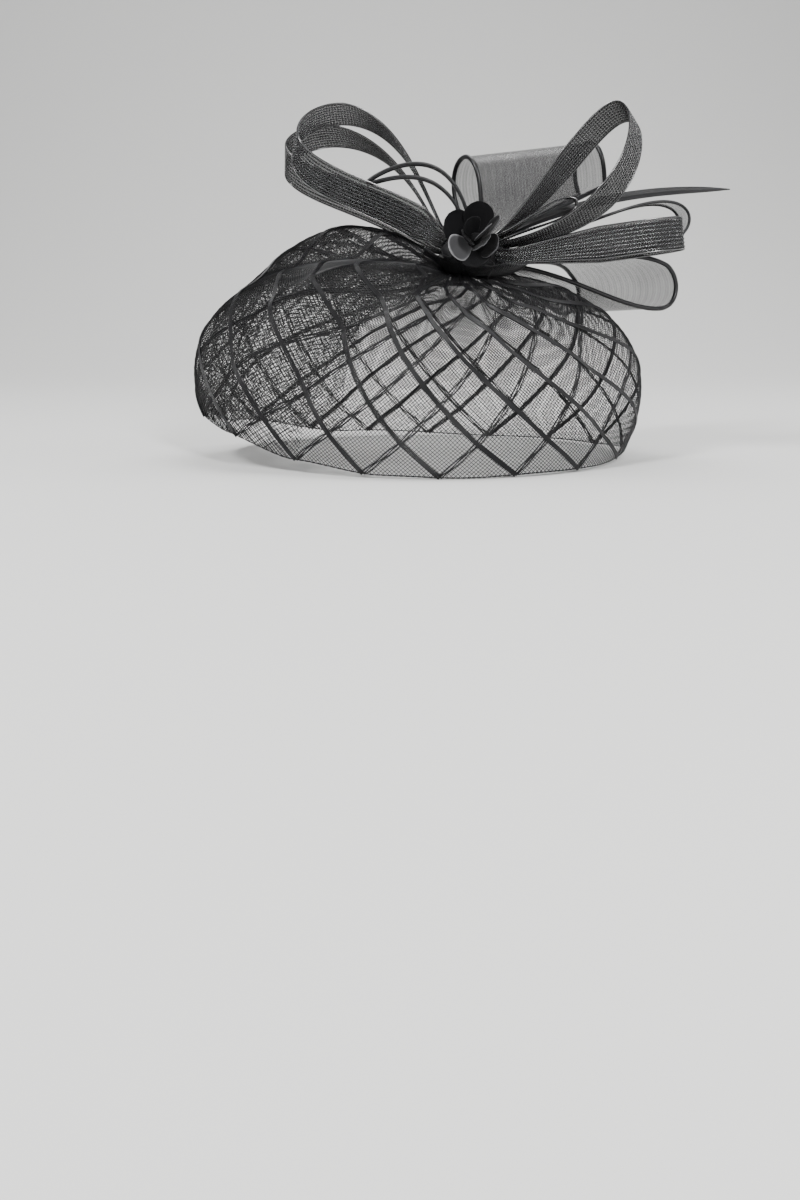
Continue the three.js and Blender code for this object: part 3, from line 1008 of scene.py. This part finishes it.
# %% Form of a petal
petal_start = 2.0
petal_root_width = 0.25
petal_fullness = 1.5
ripple_depth, ripple_waves, ripple_shift = 0.4, 2.3, 1.7


def petal_point(shape, out, side, number):
    """A point of a cupped petal; each petal's rim is waved a little differently."""
    half = shape["width"] / 2 * max(petal_root_width, math.sin(math.pi * out ** petal_fullness) ** 0.5)
    cup = shape["cup"] * (side * side * half / shape["width"] + out * out)
    wave = math.sin(ripple_waves * math.pi * side + ripple_shift * number)
    ripple = ripple_depth * out * wave * abs(side)
    return Vector((petal_start + shape["length"] * out, half * side, cup + ripple))


print("petals start", petal_start, "mm from the flower's axis")

# %% [markdown]
# Some petals get a painted highlight along the rim, where the edge catches the light. Their points carry
# how near the rim is, from 0 inside to 1 at the rim.

# %% Petals
petal_thickness = 0.55
petal_grid = (14, 10)
# these petals get a painted highlight on their rim
highlit_rim_petals = (3, 5, 6, 9, 10)
petals = []
for number, shape in enumerate(petal_shapes, 1):
    bpy.ops.object.select_all(action="DESELECT")
    bpy.ops.mesh.primitive_grid_add(x_subdivisions=petal_grid[0], y_subdivisions=petal_grid[1], size=2)
    petal = bpy.context.object
    petal.name = f"velvet_petal_{number}"
    pose = petal_pose(shape)
    cloth = petal.data.attributes.new("cloth", "FLOAT_VECTOR", "POINT")
    for vertex in petal.data.vertices:
        out, side = (1 - math.cos(math.pi * (vertex.co.x + 1) / 2)) / 2, vertex.co.y
        # nearness to the rim, which places the painted rim highlight
        rim = max(abs(side), 2 * out - 1) if number in highlit_rim_petals else 0
        cloth.data[vertex.index].vector = (0, 0, rim)
        vertex.co = (pose @ petal_point(shape, out, side, number)) * MM
    wall = petal.modifiers.new("wall", "SOLIDIFY")
    wall.thickness = petal_thickness * MM
    wall.offset = 0
    soften = petal.modifiers.new("soften", "SUBSURF")
    soften.levels = soften.render_levels = 1
    bpy.ops.object.modifier_apply(modifier="wall")
    bpy.ops.object.modifier_apply(modifier="soften")
    bpy.ops.object.shade_smooth()
    petals.append(settle(petal, [f"petal_{number}"]))
print("petals:", len(petals), "triangles each", triangles_of(petals[0]))

# %% [markdown]
# The bud is a strip of velvet rolled round itself. Most of a real roll would be hidden, so a ball is
# drawn out to the bud's length, and three spiral steps in its side show the edges of the roll.

# %% Bud
bud_half_width, bud_half_length = 4, 8
bud_raised = 2
bud_twist = 2.2
bud_wraps = 3
wrap_inside, wrap_step = 0.84, 0.16
bpy.ops.object.select_all(action="DESELECT")
bpy.ops.mesh.primitive_uv_sphere_add(segments=48, ring_count=24, radius=1)
bud = bpy.context.object
bud.name = "velvet_bud"
bud_pose = flower_pose(0, bud_raised)
for vertex in bud.data.vertices:
    x, y, z = vertex.co
    angle = math.atan2(y, x) + bud_twist * z
    wrap = wrap_inside + wrap_step * ((bud_wraps * angle / (2 * math.pi)) % 1)
    shaped = Vector((x * bud_half_width * wrap, y * bud_half_width * wrap, z * bud_half_length))
    vertex.co = (bud_pose @ shaped) * MM
bpy.ops.object.shade_smooth()
settle(bud, ["flower_bud"])
print("bud triangles:", triangles_of(bud))

# %% [markdown]
# ## Tie
# All ends meet in a bundle that is wound with thread. Every ribbon end could be modelled, but little of
# them would show. So the bundle is a ball stretched to its size, with creases along it where ribbon ends
# lie side by side.

# %% Bundle
tie_half = Vector((16, 9, 9))
creases, uneven_creases, crease_slant = 11, 2.5, 1.5
crease_depth = 0.09
under_sag = 1.22
bpy.ops.object.select_all(action="DESELECT")
bpy.ops.mesh.primitive_uv_sphere_add(segments=64, ring_count=40, radius=1, rotation=(0, math.pi / 2, 0))
tie = bpy.context.object
tie.name = "tie_bundle"
bpy.ops.object.transform_apply(location=True, rotation=True, scale=True)
for vertex in tie.data.vertices:
    x, y, z = vertex.co
    angle = math.atan2(z, y)
    fold = math.sin(creases * angle + uneven_creases * math.sin(3 * angle) + crease_slant * x)
    crease = 1 - crease_depth * (0.5 + 0.5 * fold)
    sag = under_sag if z < 0 else 1
    place = Vector((x, y * crease, z * crease * sag))
    vertex.co = (tie_centre + place * tie_half) * MM
bpy.ops.object.shade_smooth()
settle(tie, ["centre_tie"])
print("tie triangles:", triangles_of(tie))

# %% [markdown]
# A short stem joins the bundle to the clip through the ring of the net. It hardly shows, so it is a
# cylinder with a small bevel.

# %% Stem
stem_radius, stem_length, stem_middle = 5.2 * MM, 11 * MM, 7.4 * MM
stem_bevel = 0.8 * MM
stem_sides = 40
bpy.ops.object.select_all(action="DESELECT")
bpy.ops.mesh.primitive_cylinder_add(
    vertices=stem_sides, radius=stem_radius, depth=stem_length, location=(0, 0, stem_middle))
stem = bpy.context.object
stem.name = "tie_stem"
bpy.ops.object.transform_apply(location=True, rotation=True, scale=True)
bpy.ops.object.mode_set(mode="EDIT")
bpy.ops.mesh.select_all(action="SELECT")
bpy.ops.mesh.bevel(offset=stem_bevel, segments=2)
bpy.ops.object.mode_set(mode="OBJECT")
bpy.ops.object.shade_smooth_by_angle()
settle(stem)
print("stem triangles:", triangles_of(stem))

# %% [markdown]
# The winding is one thread round the bundle's waist, and its loose end hangs down at the front. A curve
# with a round bevel would do as well, but the tube helper is there already and takes the wobbling turns
# as an array.

# %% Winding
turns, steps_per_turn = 11, 30
wind_start, wind_length = 4, 9
wobble, wobbles = 0.25, 5
wind_lift = 0.1
wind_radius, wind_corners = 0.38, 5
wind = np.linspace(0, 2 * np.pi * turns, steps_per_turn * turns)
wind_x = wind_start + wind_length * wind / wind[-1] + wobble * np.sin(wobbles * wind)
waist = np.sqrt(1 - ((wind_x - tie_centre.x) / tie_half.x) ** 2)
around = np.stack([0 * wind, np.cos(wind), np.sin(wind)], -1)
wound = np.stack([wind_x, 0 * wind, 0 * wind], -1) + [0, tie_centre.y, tie_centre.z]
wound = wound + around * (tie_half.y * waist + wind_lift)[:, None]
wound_side = np.tile([1.0, 0.0, 0.0], (len(wind), 1))
winding = tubes(wound[None], wound_side[None], around[None], wind_radius, wind_corners)
print("winding points:", len(winding[0]))

# %% Loose end of the winding
tail_corners = [(11, -4, 13), (14, -9, 12), (15.6, -13, 10), (13.6, -14, 6.5), (12, -14, 3.4)]
tail_points = np.array(tail_corners, float)
tail_steps, tail_smoothings = 24, 4
tail_radius, tail_sides = 0.22, 4
corner_numbers = np.arange(len(tail_points))
tail_time = np.linspace(0, corner_numbers[-1], tail_steps)
tail = np.stack([np.interp(tail_time, corner_numbers, tail_points[:, k]) for k in range(3)], -1)
for _ in range(tail_smoothings):
    tail[1:-1] = (tail[:-2] + 2 * tail[1:-1] + tail[2:]) / 4
tail_side = np.tile([0.0, 1.0, 0.0], (tail_steps, 1))
tail_up = unit(np.cross(np.gradient(tail, axis=0), tail_side))
loose_end = tubes(tail[None], tail_side[None], tail_up[None], tail_radius, tail_sides)
tie_thread = new_piece("tie_thread", joined([winding, loose_end]))
print("winding triangles:", triangles_of(tie_thread))

# %% [markdown]
# ## Finishes
# Everything is black, so the finishes differ in gloss, in how much light they let through and in their
# weave. The net, the winding and the rims of the sheer ribbons are nylon thread. The folded layer and
# the cords of the braided ribbons are glossier, so that their ridges give bright specks.

# %% Threads and cords
nylon = Finish("nylon_thread", Base_Color=(0.009, 0.009, 0.01, 1), Specular_IOR_Level=0.35)
nylon.rough(nylon.noise(spots=400), least=0.22, span=0.3)
for piece in (veil, veil_bands, veil_hem, frill, tie_thread):
    piece.data.materials.append(nylon.material)

gloss = Finish("glossy_cord", Base_Color=(0.012, 0.012, 0.013, 1), IOR=2.0)
gloss.rough(gloss.noise(spots=300), least=0.12, span=0.12)
veil_fold.data.materials.append(gloss.material)
print("thread finishes:", nylon.material.name, gloss.material.name)

# %% [markdown]
# Between its cords the braided ribbon is a close weave that lets some light through. The sheer
# ribbon is a fine plain weave that lets most of it through, with faint streaks along its length.

# %% Braided ribbon
weft_pitch = 0.75
braid_cover, weft_cover = 0.48, 0.2
gap_black, weft_black = (0.006, 0.006, 0.0065), (0.022, 0.022, 0.023)
braid = Finish("braided_ribbon", Specular_IOR_Level=0.25)
weft = (braid.carried("along") / weft_pitch).wave()
braid.feed("Alpha", weft * weft_cover + braid_cover)
braid.feed("Base Color", braid.blend(weft, gap_black, weft_black))
braid.rough(braid.noise(spots=250), least=0.4, span=0.2)
braid.bump(weft, distance=0.0002)
print("braided ribbon: weft every", weft_pitch, "mm")

# %% Sheer ribbon
fine_streak, fine_streak_share = 1.8, 0.6
wide_streak, wide_streak_share = 4.7, 0.4
sheer_cover, streak_cover, cloud_cover = 0.29, 0.1, 0.12
sheer_black, streak_black = (0.012, 0.012, 0.013), (0.03, 0.03, 0.032)
sheer = Finish("sheer_ribbon")
across = sheer.carried("across")
fine_lines = (across / fine_streak).wave() * fine_streak_share
wide_lines = (across / wide_streak).wave() * wide_streak_share
streak = fine_lines + wide_lines
cloud = sheer.noise(spots=60)
sheer.feed("Alpha", streak * streak_cover + cloud * cloud_cover + sheer_cover)
sheer.feed("Base Color", sheer.blend(streak, sheer_black, streak_black))
sheer.rough(cloud, least=0.3, span=0.2)

ribbon_finishes = {"braid": (braid, gloss), "sheer": (sheer, nylon)}
for name, loop in loops.items():
    cloth_finish, cord_finish = ribbon_finishes[loop["kind"]]
    ribbons[name].data.materials.append(cloth_finish.material)
    ribbon_cords[name].data.materials.append(cord_finish.material)
print("ribbon finishes on", len(ribbons), "pieces")

# %% [markdown]
# Velvet is dark face on and lighter at a slant, which the shader's sheen gives. On some petals a painted
# highlight makes the rim paler, where the edge catches the light. One petal is turned over, so its satin
# back is seen, with a brighter painted highlight on its rim.

# %% Velvet and satin
turned_petal = 3
# the paler greys at the rims are painted highlights, where the petals' edges catch the light
velvet_highlight_from, satin_highlight_from = 0.95, 0.8
velvet_black, rim_highlight_grey = (0.004, 0.004, 0.0045), (0.07, 0.07, 0.073)
satin_black, satin_rim_highlight_grey = (0.05, 0.05, 0.052), (0.17, 0.17, 0.175)
velvet = Finish("velvet", Roughness=0.95, Specular_IOR_Level=0.12, Sheen_Weight=0.06, Sheen_Roughness=0.35)
# painted highlight: the velvet turns paler grey near the rim
velvet_rim_highlight = velvet.carried("rim").step(velvet_highlight_from, 1.0)
velvet.feed("Base Color", velvet.blend(velvet_rim_highlight, velvet_black, rim_highlight_grey))
velvet.bump(velvet.noise(spots=4000), distance=0.0003, strength=0.5)

satin = Finish("petal_satin")
# painted highlight: the satin turns paler grey near the rim
satin_rim_highlight = satin.carried("rim").step(satin_highlight_from, 1.0)
satin.feed("Base Color", satin.blend(satin_rim_highlight, satin_black, satin_rim_highlight_grey))
satin.rough(satin.noise(spots=300), least=0.25, span=0.2)
for number, piece in enumerate([*petals, bud], 1):
    piece.data.materials.append((satin if number == turned_petal else velvet).material)
print("petal finishes on", len(petals) + 1, "pieces")

# %% [markdown]
# A quill shines like satin, and its barbs lie at a slant to its shaft. They are too fine to model, so a
# wave along the blade varies its roughness and its bump.

# %% Finish of the quill
barb_slant = 0.8
barbs_in_a_metre = 1800
quill_satin = Finish("quill_satin", Base_Color=(0.012, 0.012, 0.013, 1))
place = quill_satin.place()
quill_along = quill_satin.axis(place, "X")
quill_up = quill_satin.axis(place, "Z")
barbs = ((quill_along + quill_up * barb_slant) * barbs_in_a_metre).wave()
quill_satin.rough(barbs, least=0.3, span=0.2)
quill_satin.bump(barbs, distance=0.0002, strength=0.4)
quill.data.materials.append(quill_satin.material)
print("quill finish:", quill_satin.material.name)

# %% [markdown]
# The bundle is dull crumpled cloth, and one noise gives both its roughness and its bump. The clip is
# hidden when the hat is worn, so it keeps the shape of its solid and gets a plain black enamel.

# %% Bundle and clip
bundle = Finish("bound_cloth", Base_Color=(0.008, 0.008, 0.009, 1))
crumple = bundle.noise(spots=500, detail=4)
bundle.rough(crumple, least=0.4, span=0.4)
bundle.bump(crumple, distance=0.001, strength=0.7)
for piece in (tie, stem):
    piece.data.materials.append(bundle.material)

enamel = Finish("black_enamel", Base_Color=(0.01, 0.01, 0.011, 1), Coat_Weight=0.3)
enamel.rough(enamel.noise(spots=600, detail=3), least=0.2, span=0.25)
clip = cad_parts["hair_clip"]
clip.data.materials.clear()
clip.data.materials.append(enamel.material)

# %% [markdown]
# ## Sizes
# The last cell works out the flat size of each ribbon and petal, and counts the sheets. The net's area is
# that of the cap's surface. A ribbon is drawn in at the tie, so it fills three quarters of its width times
# length, and a rounded petal fills about four fifths. Laid flat, a cupped petal is a little longer than
# it stands.

least_flat_width = 10
ribbon_share = 0.75
petal_curl = 1
for name, piece in ribbons.items():
    width, length = max(loops[name]["width"], least_flat_width) * MM, ribbon_lengths[name] * MM
    area = ribbon_share * loops[name]["width"] * MM * length
for shape, piece in zip(petal_shapes, petals):
    flat = (shape["width"] * MM, (shape["length"] + petal_curl) * MM)
    0.8 * flat[0] * flat[1]
print("sheets:", 1 + len(ribbons) + len(petals))
